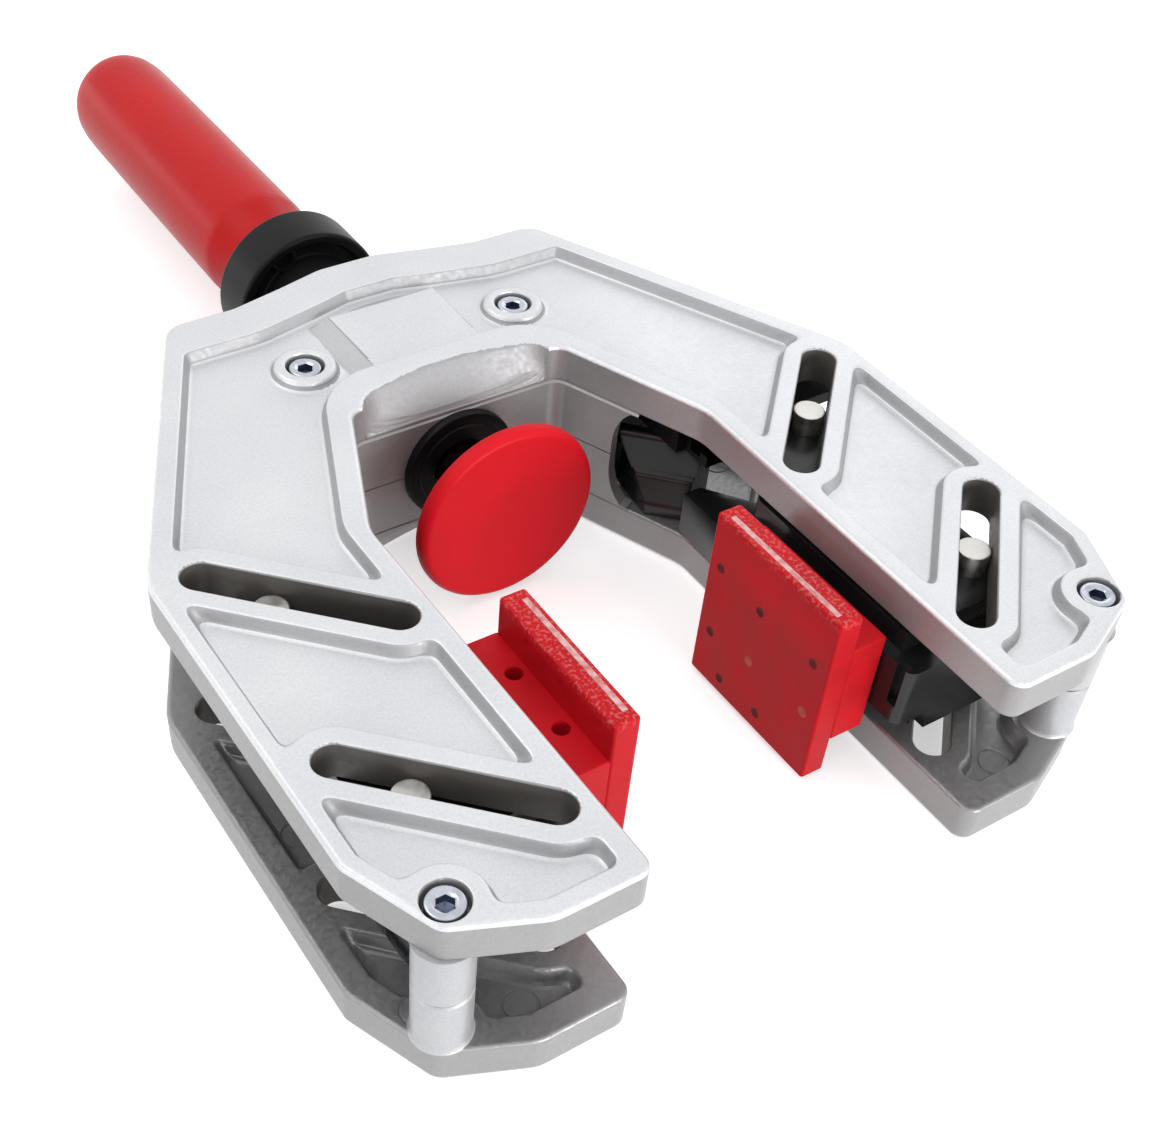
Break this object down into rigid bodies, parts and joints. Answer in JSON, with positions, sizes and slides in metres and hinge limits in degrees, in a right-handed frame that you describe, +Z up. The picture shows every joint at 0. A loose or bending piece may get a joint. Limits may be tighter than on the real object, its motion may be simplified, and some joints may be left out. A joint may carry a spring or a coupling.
{
  "type": "edge clamp",
  "caption": "Edge clamp with cast horseshoe frame, paired jaws in slanted slots, pull flange, turning handle and screw-driven swivel disc.",
  "frame": {"origin": "middle of the bounding box on the surface that the clamp lies on", "axes": "+X to the right jaw seen from the mouth, +Y from the mouth to the handle, +Z up, square to the shells"},
  "size_m": [0.162, 0.3092, 0.0432],
  "materials": {
    "cast_aluminium": "satin die cast",
    "black_nylon": "moulded, semi-matte",
    "red_plastic": "fine-grained, satin",
    "pad_plastic": "satin, slightly mottled",
    "strip_plastic": "matte",
    "zinc_steel": "bright zinc plated",
    "steel": "turned",
    "brass": "turned"
  },
  "bodies": {
    "frame": {"shell_upper": "cast_aluminium", "shell_lower": "cast_aluminium", "screw_tip_left": "zinc_steel", "screw_tip_right": "zinc_steel", "screw_rear_left": "zinc_steel", "screw_rear_right": "zinc_steel", "guide_bush": "black_nylon", "core_tube": "steel", "handle_clip": "steel", "return_spring": "steel"},
    "yoke": {"yoke": "black_nylon", "finger_flange": "black_nylon", "sleeve_ring": "steel"},
    "jaw_left": {"carrier_left": "black_nylon", "pad_left": "pad_plastic", "pad_strip_left": "strip_plastic", "pad_stud_front_left": "steel", "pad_stud_rear_left": "steel", "pin_front_left": "steel", "pin_rear_left": "steel"},
    "jaw_right": {"carrier_right": "black_nylon", "pad_right": "pad_plastic", "pad_strip_right": "strip_plastic", "pad_stud_front_right": "steel", "pad_stud_rear_right": "steel", "pin_front_right": "steel", "pin_rear_right": "steel"},
    "handle": {"handle_grip": "red_plastic", "handle_nut": "brass"},
    "spindle": {"spindle": "steel"},
    "disc": {"pressure_disc": "red_plastic", "disc_socket": "black_nylon"}
  },
  "joints": [
    {"name": "yoke_slide", "type": "slide", "parent": "frame", "child": "yoke", "axis": [0, 1, 0], "range_m": [-0.0166, 0.0088], "deforming": ["return_spring"]},
    {"name": "jaw_left_slide", "type": "slide", "parent": "frame", "child": "jaw_left", "axis": [-0.7071, 0.7071, 0], "range_m": [-0.02348, 0.01245]},
    {"name": "jaw_right_slide", "type": "slide", "parent": "frame", "child": "jaw_right", "axis": [0.7071, 0.7071, 0], "range_m": [-0.02348, 0.01245]},
    {"name": "handle_turn", "type": "hinge", "parent": "frame", "child": "handle", "pos_m": [0, 0.04925, 0.0216], "axis": [0, -1, 0], "range_deg": [-720, 3600]},
    {"name": "spindle_slide", "type": "slide", "parent": "frame", "child": "spindle", "axis": [0, -1, 0], "range_m": [-0.006, 0.03]},
    {"name": "disc_tilt", "type": "hinge", "parent": "spindle", "child": "disc", "pos_m": [0, -0.04305, 0.0216], "axis": [1, 0, 0], "range_deg": [-6, 6]}
  ],
  "couplings": [
    {"joint": "jaw_left_slide", "follows": "yoke_slide", "ratio": 1.4142},
    {"joint": "jaw_right_slide", "follows": "yoke_slide", "ratio": 1.4142},
    {"joint": "spindle_slide", "follows": "handle_turn", "m_per_rad": 0.00047746}
  ]
}
